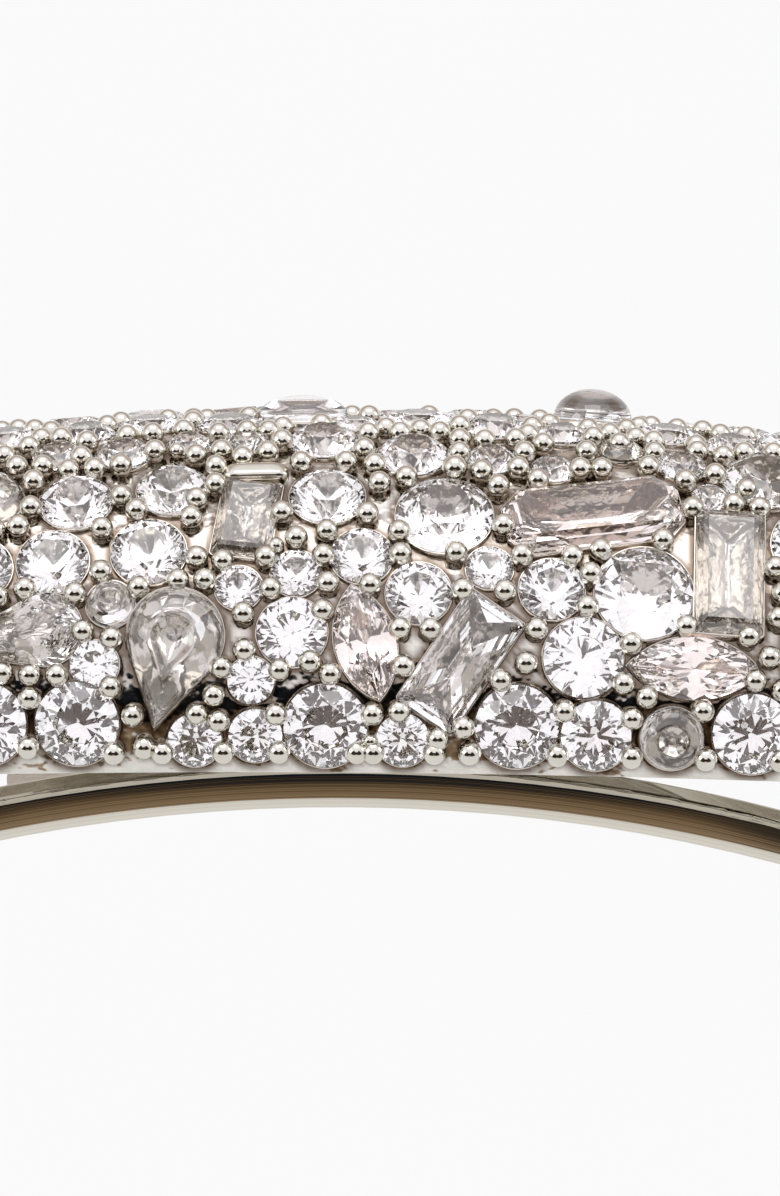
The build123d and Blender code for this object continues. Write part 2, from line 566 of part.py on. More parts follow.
def fill_shell(placed):
    """Round stones over the rest of the shell, each at the free place nearest to the middle."""
    columns = np.arange(-STONE_END, STONE_END, GRID_STEP)
    places = []
    for x in columns:
        step = degrees(GRID_STEP / section_radius(x))
        places += [(x, angle) for angle in np.arange(-STONE_LIMIT, STONE_LIMIT, step)]
    places = np.array(places)
    points = np.array([tuple(surface_point(x, angle)) for x, angle in places])
    section = np.array([section_radius(x) for x in places[:, 0]])
    clear = np.minimum(
        np.radians(STONE_LIMIT - np.abs(places[:, 1])) * section,
        STONE_END - np.abs(places[:, 0]),
    )
    patch = (places[:, 0] > CLEAR_X[0]) & (places[:, 0] < CLEAR_X[1]) & (places[:, 1] > CLEAR_ANGLE)
    clear[patch] = 0

    def take(point, radius):
        np.minimum(clear, np.linalg.norm(points - point, axis=1) - radius - STONE_GAP, out=clear)

    for point, radius in placed:
        take(np.array(tuple(point)), radius)
    found = []
    order = random.Random(FILL_SEED)
    tilt = np.abs(places[:, 0]) + FILL_TILT * np.abs(places[:, 1])
    sizes = [list(FILL_SIZES) for _ in range(FILL_ROUNDS)]
    for batch in sizes:
        order.shuffle(batch)
    for size in [size for batch in sizes for size in batch] + PATCH_ROUNDS * list(PATCH_SIZES):
        free = np.where(clear >= size / 2)[0]
        if len(free):
            best = free[np.argmin(tilt[free])]
            found.append((float(places[best, 0]), float(places[best, 1]), size))
            take(points[best], size / 2)
    return found


taken = []
for _, outline, _, spots in FANCY:
    for spot in spots:
        taken += stone_discs(outline, *spot)
for x, angle, size in ROUNDS:
    taken.append((surface_point(x, angle), size / 2))
all_rounds = list(ROUNDS) + fill_shell(taken)

# ---------------------------------------------------------------- stones
stone_nodes = {}
for name, outline, build, spots in FANCY:
    with BuildPart() as stones:
        for x, angle, length, width, turn in spots:
            with Locations(stone_plane(x, angle, turn)):
                add(build(outline, length, width))
    stone_nodes[name] = stones

remaining = all_rounds
for name, least in SIZE_CLASSES.items():
    chosen = [spot for spot in remaining if spot[2] >= least]
    remaining = [spot for spot in remaining if spot[2] < least]
    with BuildPart() as stones:
        for size in sorted({spot[2] for spot in chosen}):
            with Locations(*[stone_plane(x, angle, 0) for x, angle, own in chosen if own == size]):
                add(cut_stone(round_outline, size, size))
    stone_nodes[name] = stones

# ---------------------------------------------------------------- export
nodes = {
    "dome_shell": dome_shell, "back_plate": back_plate, "mount_pad": mount_pad,
    "base_rivets": base_rivets, "clip_base": clip_base, "hinge_pin": hinge_pin,
    "leaf_anchor_tab": leaf_anchor_tab, "leaf_rivet": leaf_rivet, "tension_leaf": tension_leaf,
    "catch_saddle": catch_saddle, "catch_rivet": catch_rivet,
    "squeeze_wing_front": squeeze_wing_front, "squeeze_wing_back": squeeze_wing_back,
    "clip_arm": clip_arm, **stone_nodes,
}
os.makedirs("parts", exist_ok=True)
for name, node in nodes.items():
    node.part.label = name
    export_step(node.part, f"parts/{name}.step")
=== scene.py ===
import random
from math import cos, pi, radians, sin, sqrt
import bmesh
import bpy
import numpy as np
from mathutils import Matrix, Vector


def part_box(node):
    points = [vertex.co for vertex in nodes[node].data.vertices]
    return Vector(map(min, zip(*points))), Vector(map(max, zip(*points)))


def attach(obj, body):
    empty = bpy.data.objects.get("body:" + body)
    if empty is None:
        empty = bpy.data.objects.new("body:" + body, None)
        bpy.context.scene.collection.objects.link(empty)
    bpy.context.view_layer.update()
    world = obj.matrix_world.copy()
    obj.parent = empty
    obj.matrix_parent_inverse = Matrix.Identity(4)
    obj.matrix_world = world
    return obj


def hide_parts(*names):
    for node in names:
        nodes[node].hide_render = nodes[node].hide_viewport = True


# A domed bar hair clip paved with mixed-cut stones. The CAD frame gives every body, the places of the
# stones and the clip's mechanism; this script cuts the stones, casts the paved shell round them with
# its seats and ball prongs, and gives every piece its material. Lengths are in mm until a mesh is made.

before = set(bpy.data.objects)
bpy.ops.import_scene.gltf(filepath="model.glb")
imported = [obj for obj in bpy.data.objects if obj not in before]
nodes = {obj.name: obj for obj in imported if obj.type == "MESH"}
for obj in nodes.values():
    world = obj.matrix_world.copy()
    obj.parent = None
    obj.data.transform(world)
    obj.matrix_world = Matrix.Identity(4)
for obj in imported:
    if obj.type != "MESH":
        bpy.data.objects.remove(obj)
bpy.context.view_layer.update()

MM = 0.001

# ---------------------------------------------------------------- camera
CAMERA_ELEVATION = radians(33.0)
CAMERA_DISTANCE = 0.300
CAMERA_ROLL = radians(0.55)
CAMERA_AIM = Vector((0, 0, 0.01218))
FIELD_HEIGHT = 0.03624      # of the long side of the picture, where the camera aims


def make_camera():
    data = bpy.data.cameras.new("camera")
    data.sensor_width = 36.0
    data.lens = data.sensor_width * CAMERA_DISTANCE / FIELD_HEIGHT
    data.clip_start, data.clip_end = 0.01, 10.0
    back = Vector((0, -cos(CAMERA_ELEVATION), sin(CAMERA_ELEVATION)))
    turn = (-back).to_track_quat("-Z", "Y").to_matrix().to_4x4()
    camera = bpy.data.objects.new("camera", data)
    camera.matrix_world = (
        Matrix.Translation(CAMERA_AIM + back * CAMERA_DISTANCE) @ turn @ Matrix.Rotation(CAMERA_ROLL, 4, "Z")
    )
    bpy.context.scene.collection.objects.link(camera)
    bpy.context.scene.camera = camera


# ---------------------------------------------------------------- node helpers
def node_material(name):
    material = bpy.data.materials.new(name)
    material.use_nodes = True
    tree = material.node_tree
    return material, tree, tree.nodes["Principled BSDF"]


def object_coordinates(tree):
    return tree.nodes.new("ShaderNodeTexCoord").outputs["Object"]


def noise(tree, scale, detail=3.0, stretch=None):
    """Noise over the object, as a socket; scale is in cycles per metre."""
    texture = tree.nodes.new("ShaderNodeTexNoise")
    texture.inputs["Scale"].default_value = scale
    texture.inputs["Detail"].default_value = detail
    vector = object_coordinates(tree)
    if stretch:
        mapping = tree.nodes.new("ShaderNodeMapping")
        mapping.inputs["Scale"].default_value = stretch
        tree.links.new(vector, mapping.inputs["Vector"])
        vector = mapping.outputs["Vector"]
    tree.links.new(vector, texture.inputs["Vector"])
    return texture.outputs["Fac"]


def spread(tree, value, low, high, start=0.3, end=0.7):
    """A value between start and end carried to low and high."""
    node = tree.nodes.new("ShaderNodeMapRange")
    node.inputs["From Min"].default_value = start
    node.inputs["From Max"].default_value = end
    node.inputs["To Min"].default_value = low
    node.inputs["To Max"].default_value = high
    tree.links.new(value, node.inputs["Value"])
    return node.outputs["Result"]


def ramp(tree, value, stops):
    node = tree.nodes.new("ShaderNodeValToRGB")
    elements = node.color_ramp.elements
    while len(elements) < len(stops):
        elements.new(1.0)
    for element, (place, colour) in zip(elements, stops):
        element.position = place
        element.color = (*colour, 1.0)
    tree.links.new(value, node.inputs["Fac"])
    return node.outputs["Color"]


def give(tree, socket, value):
    """Sets a socket to a number or a colour, or links it to another socket."""
    if isinstance(value, tuple):
        socket.default_value = (*value, 1.0)
    elif isinstance(value, float):
        socket.default_value = value
    else:
        tree.links.new(value, socket)


def blend(tree, share, first, second):
    """Colour between the first, where the share is 0, and the second, where it is 1."""
    node = tree.nodes.new("ShaderNodeMix")
    node.data_type = "RGBA"
    for name, value in (("Factor", share), ("A", first), ("B", second)):
        give(tree, node.inputs[name], value)
    return node.outputs["Result"]


def combine(tree, operation, *values):
    node = tree.nodes.new("ShaderNodeMath")
    node.operation = operation
    for socket, value in zip(node.inputs, values):
        give(tree, socket, value)
    return node.outputs["Value"]


def step(tree, value, low, high):
    """Soft step that is 0 at low and 1 at high, which may lie either way round."""
    node = tree.nodes.new("ShaderNodeMapRange")
    node.interpolation_type = "SMOOTHSTEP"
    node.inputs["From Min"].default_value = low
    node.inputs["From Max"].default_value = high
    tree.links.new(value, node.inputs["Value"])
    return node.outputs["Result"]


def bump(tree, shader, height, strength, distance):
    node = tree.nodes.new("ShaderNodeBump")
    node.inputs["Strength"].default_value = strength
    node.inputs["Distance"].default_value = distance
    tree.links.new(height, node.inputs["Height"])
    tree.links.new(node.outputs["Normal"], shader.inputs["Normal"])


# ---------------------------------------------------------------- materials
def plated_metal(name, dark, light, rough, wave=0.05, gap_shade=None):
    """Polished plating: slow colour change, uneven gloss and faint waves, with painted shade (darker) where
    it has little room.
    """
    material, tree, shader = node_material(name)
    shader.inputs["Metallic"].default_value = 1.0
    tint = ramp(tree, noise(tree, 900.0), [(0.35, dark), (0.65, light)])
    if gap_shade:
        # painted shade: the dark colour is blended in where the room attribute is low, in narrow gaps and
        # round prongs
        room = tree.nodes.new("ShaderNodeAttribute")
        room.attribute_name = "room"
        tint = blend(tree, room.outputs["Fac"], gap_shade, tint)
    tree.links.new(tint, shader.inputs["Base Color"])
    tree.links.new(spread(tree, noise(tree, 2600.0), *rough), shader.inputs["Roughness"])
    bump(tree, shader, noise(tree, 1500.0, 2.0), wave, 0.0002)
    return material


ARM_CENTRE = (-0.001, 0.0, -0.03675)    # centre of the arm's bend
ARM_FACE_RADIUS = 0.04423               # middle of its leaning outer face, from there
ARM_CROWN = 110.0                       # how strongly that face is crowned, per metre
ARM_LINES, ARM_LINE_DEPTH = 9000.0, 4.5e-6    # drawn lines: how close, per metre, and how deep


def crowned_metal(name, dark, light, rough):
    """Polished plating on a bent strip whose faces are slightly crowned and drawn along its length."""
    material, tree, shader = node_material(name)
    shader.inputs["Metallic"].default_value = 1.0

    def vector(operation, first, second=None):
        node = tree.nodes.new("ShaderNodeVectorMath")
        node.operation = operation
        tree.links.new(first, node.inputs[0])
        if second:
            node.inputs[1].default_value = second
        return node.outputs

    place = vector("SUBTRACT", object_coordinates(tree), ARM_CENTRE)["Vector"]
    radius = vector("LENGTH", vector("MULTIPLY", place, (1.0, 0.0, 1.0))["Vector"])["Value"]
    lines = tree.nodes.new("ShaderNodeTexNoise")
    lines.noise_dimensions = "1D"
    lines.inputs["Scale"].default_value = ARM_LINES
    tree.links.new(radius, lines.inputs["W"])
    line = lines.outputs["Fac"]
    tree.links.new(ramp(tree, line, [(0.3, dark), (0.7, light)]), shader.inputs["Base Color"])
    tree.links.new(spread(tree, noise(tree, 1200.0), *rough), shader.inputs["Roughness"])
    off = combine(tree, "SUBTRACT", radius, ARM_FACE_RADIUS)
    crown = combine(tree, "MULTIPLY", combine(tree, "MULTIPLY", off, off), -ARM_CROWN)
    drawn = combine(tree, "MULTIPLY", line, ARM_LINE_DEPTH)
    bump(tree, shader, combine(tree, "ADD", crown, drawn), 1.0, 1.0)
    return material


def rolled_metal(name, dark, light, rough):
    """Bright rolled strip, with the fine drawn grain that runs along X."""
    material, tree, shader = node_material(name)
    shader.inputs["Metallic"].default_value = 1.0
    grain = noise(tree, 700.0, 4.0, stretch=(0.6, 14.0, 14.0))
    tint = ramp(tree, grain, [(0.3, dark), (0.7, light)])
    tree.links.new(tint, shader.inputs["Base Color"])
    tree.links.new(spread(tree, grain, *rough), shader.inputs["Roughness"])
    bump(tree, shader, grain, 0.08, 0.0001)
    return material


def cut_glass(name, low, high, ior):
    """Clear stone with faint cloudy veils that tint it a little."""
    material, tree, shader = node_material(name)
    shader.inputs["Transmission Weight"].default_value = 1.0
    shader.inputs["IOR"].default_value = ior
    shader.inputs["Roughness"].default_value = 0.0
    tint = ramp(tree, noise(tree, 260.0), [(0.35, low), (0.65, high)])
    tree.links.new(tint, shader.inputs["Base Color"])
    return material


def pale_floor(name):
    material, tree, shader = node_material(name)
    tint = ramp(tree, noise(tree, 6.0), [(0.3, (0.17, 0.17, 0.17)), (0.7, (0.18, 0.18, 0.18))])
    tree.links.new(tint, shader.inputs["Base Color"])
    shader.inputs["Roughness"].default_value = 0.9
    shader.inputs["Specular IOR Level"].default_value = 0.0
    shader.inputs["Emission Color"].default_value = (1.0, 1.0, 1.0, 1.0)
    shader.inputs["Emission Strength"].default_value = 0.75
    return material


# painted shade: dark brown laid into the cast plating in narrow gaps between stones and round the prongs
GAP_SHADE_COLOUR = (0.17, 0.13, 0.10)
CAST = plated_metal("cast_plating", (0.69, 0.665, 0.61), (0.78, 0.75, 0.70), (0.06, 0.12), 0.28, GAP_SHADE_COLOUR)
SEAT = plated_metal("seat_plating", (0.58, 0.53, 0.47), (0.68, 0.63, 0.57), (0.10, 0.20), 0.05)
BEAD = plated_metal("bead_plating", (0.62, 0.595, 0.53), (0.69, 0.665, 0.60), (0.005, 0.015), 0.01)
ARM = crowned_metal("arm_plating", (0.60, 0.565, 0.49), (0.68, 0.645, 0.57), (0.03, 0.07))
RIVET = plated_metal("rivet_plating", (0.66, 0.63, 0.58), (0.74, 0.71, 0.66), (0.10, 0.20), 0.05)
STRIP = rolled_metal("strip_steel", (0.66, 0.64, 0.60), (0.74, 0.72, 0.68), (0.10, 0.20))
SPRING = rolled_metal("spring_steel", (0.64, 0.62, 0.58), (0.72, 0.70, 0.66), (0.12, 0.22))
CLEAR = cut_glass("clear_glass", (0.95, 0.93, 0.935), (0.985, 0.975, 0.98), 1.9)
BLUSH = cut_glass("blush_glass", (0.96, 0.86, 0.83), (0.98, 0.91, 0.88), 1.9)


# ---------------------------------------------------------------- stones as the CAD frame places them
FLAT = 0.9999             # normals this close belong to one flat face
SHAPES = {
    "round_stones_large": "round", "round_stones_medium": "round", "round_stones_small": "round",
    "round_stones_tiny": "round", "pear_stones": "pear", "marquise_stones": "marquise",
    "baguette_stones": "bar", "radiant_stone": "cut_corner", "step_cut_stone": "bar",
    "oval_stones": "oval", "cabochon_stones": "oval",
}
BLUSH_NODES = ("marquise_stones", "radiant_stone")
CUTS = {
    "cabochon_stones": "low_dome", "radiant_stone": "radiant",
    "baguette_stones": "step", "step_cut_stone": "step",
}


def solids(node):
    """Corners and triangles of each separate solid in a CAD node, in mm."""
    mesh = nodes[node].data
    mesh.calc_loop_triangles()
    corners = np.array([v.co for v in mesh.vertices]) / MM
    triangles = np.array([t.vertices for t in mesh.loop_triangles])
    points, places = np.unique(corners.round(4), axis=0, return_inverse=True)
    triangles = places.reshape(-1)[triangles]
    label = np.arange(len(points))
    while True:
        lowest = label[triangles].min(axis=1)
        before = label.copy()
        for corner in range(3):
            np.minimum.at(label, triangles[:, corner], lowest)
        if (label == before).all():
            break
    return [(points, triangles[label[triangles[:, 0]] == own]) for own in np.unique(label)]


def read_stone(points, triangles, shape, spin):
    """A stone's place from its flat back: centre, long axis, cross axis, outward normal and sizes."""
    a, b, c = (points[triangles[:, i]] for i in range(3))
    cross = np.cross(b - a, c - a)
    area = np.linalg.norm(cross, axis=1)
    normals = cross / np.maximum(area, 1e-12)[:, None]
    alike = normals @ normals.T > FLAT
    back = alike[(alike @ area).argmax()]
    out = -cross[back].sum(axis=0)
    out /= np.linalg.norm(out)
    flat = points[np.unique(triangles[back])]
    middle = flat.mean(axis=0)
    side = np.cross((0.0, 1.0, 0.0), out)
    side /= np.linalg.norm(side)
    up = np.cross(out, side)
    plan = np.stack([(flat - middle) @ side, (flat - middle) @ up], axis=1)
    if shape == "round":
        turn = np.array([cos(spin), sin(spin)])
    elif shape == "pear":
        turn = plan[np.linalg.norm(plan, axis=1).argmax()]
    else:
        turn = np.linalg.eigh(plan.T @ plan)[1][:, 1]
    turn = turn / np.linalg.norm(turn)
    if shape != "round" and shape != "pear" and turn[0] < 0:
        turn = -turn
    along = side * turn[0] + up * turn[1]
    across = np.cross(out, along)
    reach = [(flat - middle) @ axis for axis in (along, across)]
    centre = middle + sum(axis * (r.min() + r.max()) / 2 for axis, r in zip((along, across), reach))
    return {
        "shape": shape, "centre": centre, "axes": np.stack([along, across, out]),
        "length": float(np.ptp(reach[0])), "width": float(np.ptp(reach[1])),
    }


def read_stones():
    spins = random.Random(3)
    found = {}
    for node, shape in SHAPES.items():
        found[node] = [read_stone(p, t, shape, spins.uniform(0, pi)) for p, t in solids(node)]
        for stone in found[node]:
            stone["node"], stone["cut"] = node, CUTS.get(node, "brilliant")
    return found


# ---------------------------------------------------------------- outlines in a stone's own plane
CORNER_CUT = 0.25           # of the width, on the cut-corner stone
BAR_CORNER = 0.06           # on the other bars
CORNER_SHRINK = 0.586       # how much shorter a cut corner's legs get for each mm of inset
SMALLEST_CORNER = 0.02
OUTLINE_POINTS = 48
SHARPEST_MITRE = 0.4


def smooth_outline(shape, length, width, turn):
    """Point of a smooth outline at an angle measured as if it were stretched to a circle."""
    x = cos(turn) * length / 2
    side = 1.0 if sin(turn) >= 0 else -1.0
    if shape == "marquise":
        arc = (length**2 / 4 + width**2 / 4) / width
        return x, side * (sqrt(max(arc**2 - x**2, 0)) - arc + width / 2)
    if shape == "pear":
        radius = width / 2
        centre, tip = radius - length / 2, length / 2
        lean = radius / (tip - centre)
        touch = centre + radius * lean
        if x < touch:
            return x, side * sqrt(max(radius**2 - (x - centre) ** 2, 0))
        return x, side * (tip - x) * lean / sqrt(1 - lean**2)
    return x, sin(turn) * width / 2


def bar_outline(length, width, corner, inset=0.0):
    """Rectangle with cut corners, moved in by the inset; eight points, anticlockwise."""
    x, y = length / 2 - inset, width / 2 - inset
    c = max(corner - CORNER_SHRINK * inset, SMALLEST_CORNER)
    return [
        (x, -y + c), (x, y - c), (x - c, y), (-x + c, y),
        (-x, y - c), (-x, -y + c), (-x + c, -y), (x - c, -y),
    ]


def outline(stone):
    """Closed outline of a stone, anticlockwise."""
    shape, length, width = stone["shape"], stone["length"], stone["width"]
    if shape in ("bar", "cut_corner"):
        return np.array(bar_outline(length, width, BAR_CORNER if shape == "bar" else CORNER_CUT * width))
    turns = [2 * pi * i / OUTLINE_POINTS for i in range(OUTLINE_POINTS)]
    return np.array([smooth_outline(shape, length, width, turn) for turn in turns])


def outward(points):
    """Mitred outward direction at each point of an anticlockwise outline."""
    ahead = np.roll(points, -1, axis=0) - points
    ahead /= np.linalg.norm(ahead, axis=1)[:, None]
    normal = np.stack([ahead[:, 1], -ahead[:, 0]], axis=1)
    both = normal + np.roll(normal, 1, axis=0)
    return both / np.maximum((both * normal).sum(axis=1), SHARPEST_MITRE)[:, None]


def distance_outside(points, shape_points):
    """How far points lie outside a convex outline, negative inside it."""
    ahead = np.roll(shape_points, -1, axis=0) - shape_points
    length = np.linalg.norm(ahead, axis=1)
    keep = length > 1e-6
    ahead, start = ahead[keep] / length[keep][:, None], shape_points[keep]
    normal = np.stack([ahead[:, 1], -ahead[:, 0]], axis=1)
    return (points @ normal.T - (start * normal).sum(axis=1)).max(axis=1)


# ---------------------------------------------------------------- cutting the stones
GIRDLE = 0.08               # thickness of the edge
GIRDLE_WAVE = 0.03          # and how far its scallops may eat into it
MAINS = 8                   # main facets round a brilliant
TABLE, STAR_RING, LOWER_RING = 0.56, 0.78, 0.24    # where its rings of corners lie, as shares of the outline
CROWN_SHARE, BACK_CROWN_SHARE = 0.17, 0.11         # stones that lean back have the lower crown
LEANS_BACK = 0.30
PEAR_SHIFT = -0.10          # the deepest point of a pear is this share of its length from its middle
PAVILION_SHARE = 0.42       # depth of a pavilion, as a share of the width
DEEPEST = 0.98


def is_flat_backed(stone):
    return stone["cut"] == "low_dome"


def pavilion_depth(stone):
    return min(PAVILION_SHARE * stone["width"], DEEPEST)


def deepest_place(stone):
    return PEAR_SHIFT * stone["length"] if stone["shape"] == "pear" else 0.0


def level_on(plane, x, y):
    """Height at x, y on the plane through three points."""
    a, b, c = (np.array(p) for p in plane)
    n = np.cross(b - a, c - a)
    return float(a[2] - (n[0] * (x - a[0]) + n[1] * (y - a[1])) / n[2])


def brilliant(stone):
    """Brilliant cut on any smooth outline: table, stars, kites, scalloped girdle, mains and culet."""
    crown_share = BACK_CROWN_SHARE if stone["axes"][2][1] > LEANS_BACK else CROWN_SHARE
    shape, length, width = stone["shape"], stone["length"], stone["width"]
    shift = deepest_place(stone)
    crown, depth = crown_share * width, pavilion_depth(stone)
    half = cos(pi / MAINS)

    def at(turn, share, height):
        x, y = smooth_outline(shape, length, width, turn)
        return (shift + (x - shift) * share, y * share, height)

    points, faces = [], []

    def add(point):
        points.append(point)
        return len(points) - 1

    pitch = 2 * pi / MAINS
    star_level = crown * (1 - STAR_RING * half) / (1 - TABLE)
    lower_level = -depth * (1 - LOWER_RING * half)
    table = [add(at(k * pitch, TABLE, GIRDLE + crown)) for k in range(MAINS)]
    stars = [add(at((k + 0.5) * pitch, STAR_RING, GIRDLE + star_level)) for k in range(MAINS)]
    lowers = [add(at((k + 0.5) * pitch, LOWER_RING, lower_level)) for k in range(MAINS)]
    culet = add((shift, 0, -depth))
    upper, under = [], []
    for i in range(4 * MAINS):
        turn = i * pitch / 4
        if i % 2 == 0:
            top, bottom = GIRDLE, 0.0
        else:
            k, first = i // 4, (i // 2) * pitch / 2
            ends = [at(first, 1, 0), at(first + pitch / 2, 1, 0)]
            x, y, _ = at(turn, 1, 0)
            star = at((k + 0.5) * pitch, STAR_RING, star_level)
            lower = at((k + 0.5) * pitch, LOWER_RING, lower_level)
            top = GIRDLE + max(level_on([star, *ends], x, y), -GIRDLE_WAVE)
            bottom = min(level_on([lower, *ends], x, y), GIRDLE_WAVE)
        upper.append(add(at(turn, 1, top)))
        under.append(add(at(turn, 1, bottom)))
    faces.append(table)
    for k in range(MAINS):
        after, g = (k + 1) % MAINS, 4 * k
        ring = [(g + j) % (4 * MAINS) for j in range(5)]
        faces.append([table[k], stars[k], table[after]])
        faces.append([table[k], stars[k - 1], upper[g], stars[k]])
        faces.append([stars[k], upper[ring[0]], upper[ring[1]], upper[ring[2]]])
        faces.append([stars[k], upper[ring[2]], upper[ring[3]], upper[ring[4]]])
        faces.append([culet, lowers[k], under[g], lowers[k - 1]])
        faces.append([lowers[k], under[ring[2]], under[ring[1]], under[ring[0]]])
        faces.append([lowers[k], under[ring[4]], under[ring[3]], under[ring[2]]])
        for j in range(4):
            faces.append([upper[ring[j]], under[ring[j]], under[ring[j + 1]], upper[ring[j + 1]]])
    return points, faces


def stacked(rings, close_top=True, close_bottom=True):
    """Faces between rings of equal point count, the first ring on top."""
    points, faces = [], []
    for ring in rings:
        points.extend(ring)
    count = len(rings[0])
    for level in range(len(rings) - 1):
        for i in range(count):
            a, b = level * count + i, level * count + (i + 1) % count
            faces.append([a, a + count, b + count, b])
    if close_top:
        faces.append(list(range(count)))
    if close_bottom:
        faces.append([(len(rings) - 1) * count + i for i in reversed(range(count))])
    return points, faces


def bar_rings(stone, corner, levels):
    length, width = stone["length"], stone["width"]
    return [[(x, y, z) for x, y in bar_outline(length, width, corner, inset * width)] for inset, z in levels]


# insets as shares of the width, with shares of the crown's height or of the pavilion's depth
STEP_CROWN, CROSSED_CROWN, CROSSED_BAR_CROWN = 0.15, 0.16, 0.05
CROSSED_BAR_CORNER = 0.08
CROWN_STEPS = ((0.17, 1.0), (0.10, 0.75), (0.0, 0.0))
PAVILION_STEPS = ((0.0, 0.0), (0.14, 0.42), (0.30, 0.78), (0.485, 1.0))
CROSSED_CROWN_STEPS = ((0.16, 1.0), (0.07, 0.62), (0.0, 0.0))
KEEL_SHARE, SHORTEST_KEEL = 0.55, 0.05
SHOULDER_LEVEL, SHOULDER_SIDE, SHOULDER_END = 0.55, 0.30, 0.36


def step_cut(stone):
    """Baguette: a wide table, two crown steps and a stepped pavilion that ends in a keel."""
    crown, depth = STEP_CROWN * stone["width"], pavilion_depth(stone)
    levels = [(inset, GIRDLE + share * crown) for inset, share in CROWN_STEPS]
    levels += [(inset, -share * depth) for inset, share in PAVILION_STEPS]
    return stacked(bar_rings(stone, BAR_CORNER, levels))


def crossed_cut(stone, corner, crown_share):
    """Bar with a stepped crown over a pavilion of crossed facets, which shows a bow tie."""
    w, l, depth = stone["width"], stone["length"], pavilion_depth(stone)
    levels = [(inset, GIRDLE + share * crown_share * w) for inset, share in CROSSED_CROWN_STEPS]
    levels.append((0.0, 0.0))
    points, faces = stacked(bar_rings(stone, corner, levels), close_bottom=False)
    base = len(points) - 8
    keel = max((l - w) / 2 * KEEL_SHARE, SHORTEST_KEEL)
    shoulder = -SHOULDER_LEVEL * depth
    right, left, top, bottom, east, west = (len(points) + i for i in range(6))
    points.extend([
        (keel, 0, -depth), (-keel, 0, -depth),
        (0, w * SHOULDER_SIDE, shoulder), (0, -w * SHOULDER_SIDE, shoulder),
        (l * SHOULDER_END, 0, shoulder), (-l * SHOULDER_END, 0, shoulder),
    ])
    g = [base + i for i in range(8)]
    faces += [
        [g[0], east, g[1]], [g[1], east, right], [g[1], right, g[2]], [g[2], right, top], [g[2], top, g[3]],
        [g[3], top, left], [g[3], left, g[4]], [g[4], left, west], [g[4], west, g[5]], [g[5], west, left],
        [g[5], left, g[6]], [g[6], left, bottom], [g[6], bottom, g[7]], [g[7], bottom, right],
        [g[7], right, g[0]], [g[0], right, east], [top, right, left], [bottom, left, right],
    ]
    return points, faces


DOME_SIDES, CONE_FACETS = 48, 12
WAIST_REACH, WAIST_LEVEL = 0.5, 0.62     # break in the cone, as shares of the outline and of the depth
# shares of the outline and of the rise, from the middle out
ROUND_TOP = [(sin(radians(tilt)), cos(radians(tilt))) for tilt in (5, 15, 25, 35, 46, 57, 68, 79, 90)]
RINGED_TOP = (
    (0.08, 0.72), (0.22, 0.74), (0.34, 0.84), (0.42, 0.97), (0.50, 1.0),
    (0.58, 0.93), (0.68, 0.80), (0.80, 0.66), (0.92, 0.40), (1.0, 0.0),
)
# rise as a share of the width, whether a cone lies under it, and the top's profile
DOMES = {
    "proud": (0.38, True, ROUND_TOP), "low_dome": (0.24, False, ROUND_TOP),
    "ringed": (0.24, True, RINGED_TOP), "smooth": (0.20, True, ROUND_TOP),
}


def domed(stone, rise_share, cone, profile):
    """Smooth turned top over a girdle, on a flat back or on a faceted cone that shows through it."""
    rise, tip = rise_share * stone["width"], deepest_place(stone)
    shape, length, width = stone["shape"], stone["length"], stone["width"]
    edge = [smooth_outline(shape, length, width, 2 * pi * i / DOME_SIDES) for i in range(DOME_SIDES)]

    def drawn_in(x, y, share, height):
        return (tip + (x - tip) * share, y * share, height)

    rings = [[drawn_in(x, y, share, GIRDLE + rise * level) for x, y in edge] for share, level in profile]
    rings.append([(x, y, 0.0) for x, y in edge])
    points, faces = stacked(rings, close_bottom=not cone)
    smooth = (len(profile) - 1) * DOME_SIDES
    if cone:
        depth, under, waist = pavilion_depth(stone), len(points) - DOME_SIDES, len(points)
        each = DOME_SIDES // CONE_FACETS
        points.extend(drawn_in(*corner, WAIST_REACH, -WAIST_LEVEL * depth) for corner in edge[::each])
        points.append((tip, 0, -depth))
        for k in range(CONE_FACETS):
            after = waist + (k + 1) % CONE_FACETS
            arc = [under + (k * each + j) % DOME_SIDES for j in range(each + 1)]
            faces.append([waist + k, after, *reversed(arc)])
            faces.append([after, waist + k, len(points) - 1])
    return points, faces, smooth


def cut(stone):
    """Points, faces and how many of the first faces are smooth."""
    kind = stone["cut"]
    if kind in DOMES:
        return domed(stone, *DOMES[kind])
    if kind == "radiant":
        return *crossed_cut(stone, CORNER_CUT * stone["width"], CROSSED_CROWN), 0
    if kind == "crossed":
        return *crossed_cut(stone, CROSSED_BAR_CORNER, CROSSED_BAR_CROWN), 0
    return *(step_cut(stone) if kind == "step" else brilliant(stone)), 0


# ---------------------------------------------------------------- meshes
SEAT_SHARP, SHELL_SHARP, BEAD_SHARP = radians(40), radians(50), radians(60)    # sharper edges aren't smoothed


def new_piece(name, points, faces, material, body, slot, smooth=False):
    """A mesh object from points in mm, riding on a body and taking the given material; the slot is not used.
    """
    mesh = bpy.data.meshes.new(name)
    mesh.from_pydata((np.array(points) * MM).tolist(), [], faces)
    flags = smooth if isinstance(smooth, list) else [smooth] * len(faces)
    mesh.polygons.foreach_set("use_smooth", flags)
    mesh.materials.append(material)
    piece = bpy.data.objects.new(name, mesh)
    bpy.context.scene.collection.objects.link(piece)
    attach(piece, body)
    return piece


def placed(stone, points):
    """Points in a stone's own axes carried to the part."""
    return stone["centre"] + np.array(points) @ stone["axes"]


def gather(parts):
    """Joins several lists of points and faces into one."""
    points, faces, start = [], [], 0
    for own, sides in parts:
        points.append(np.asarray(own))
        faces.extend([[start + i for i in side] for side in sides])
        start += len(own)
    return np.concatenate(points), faces


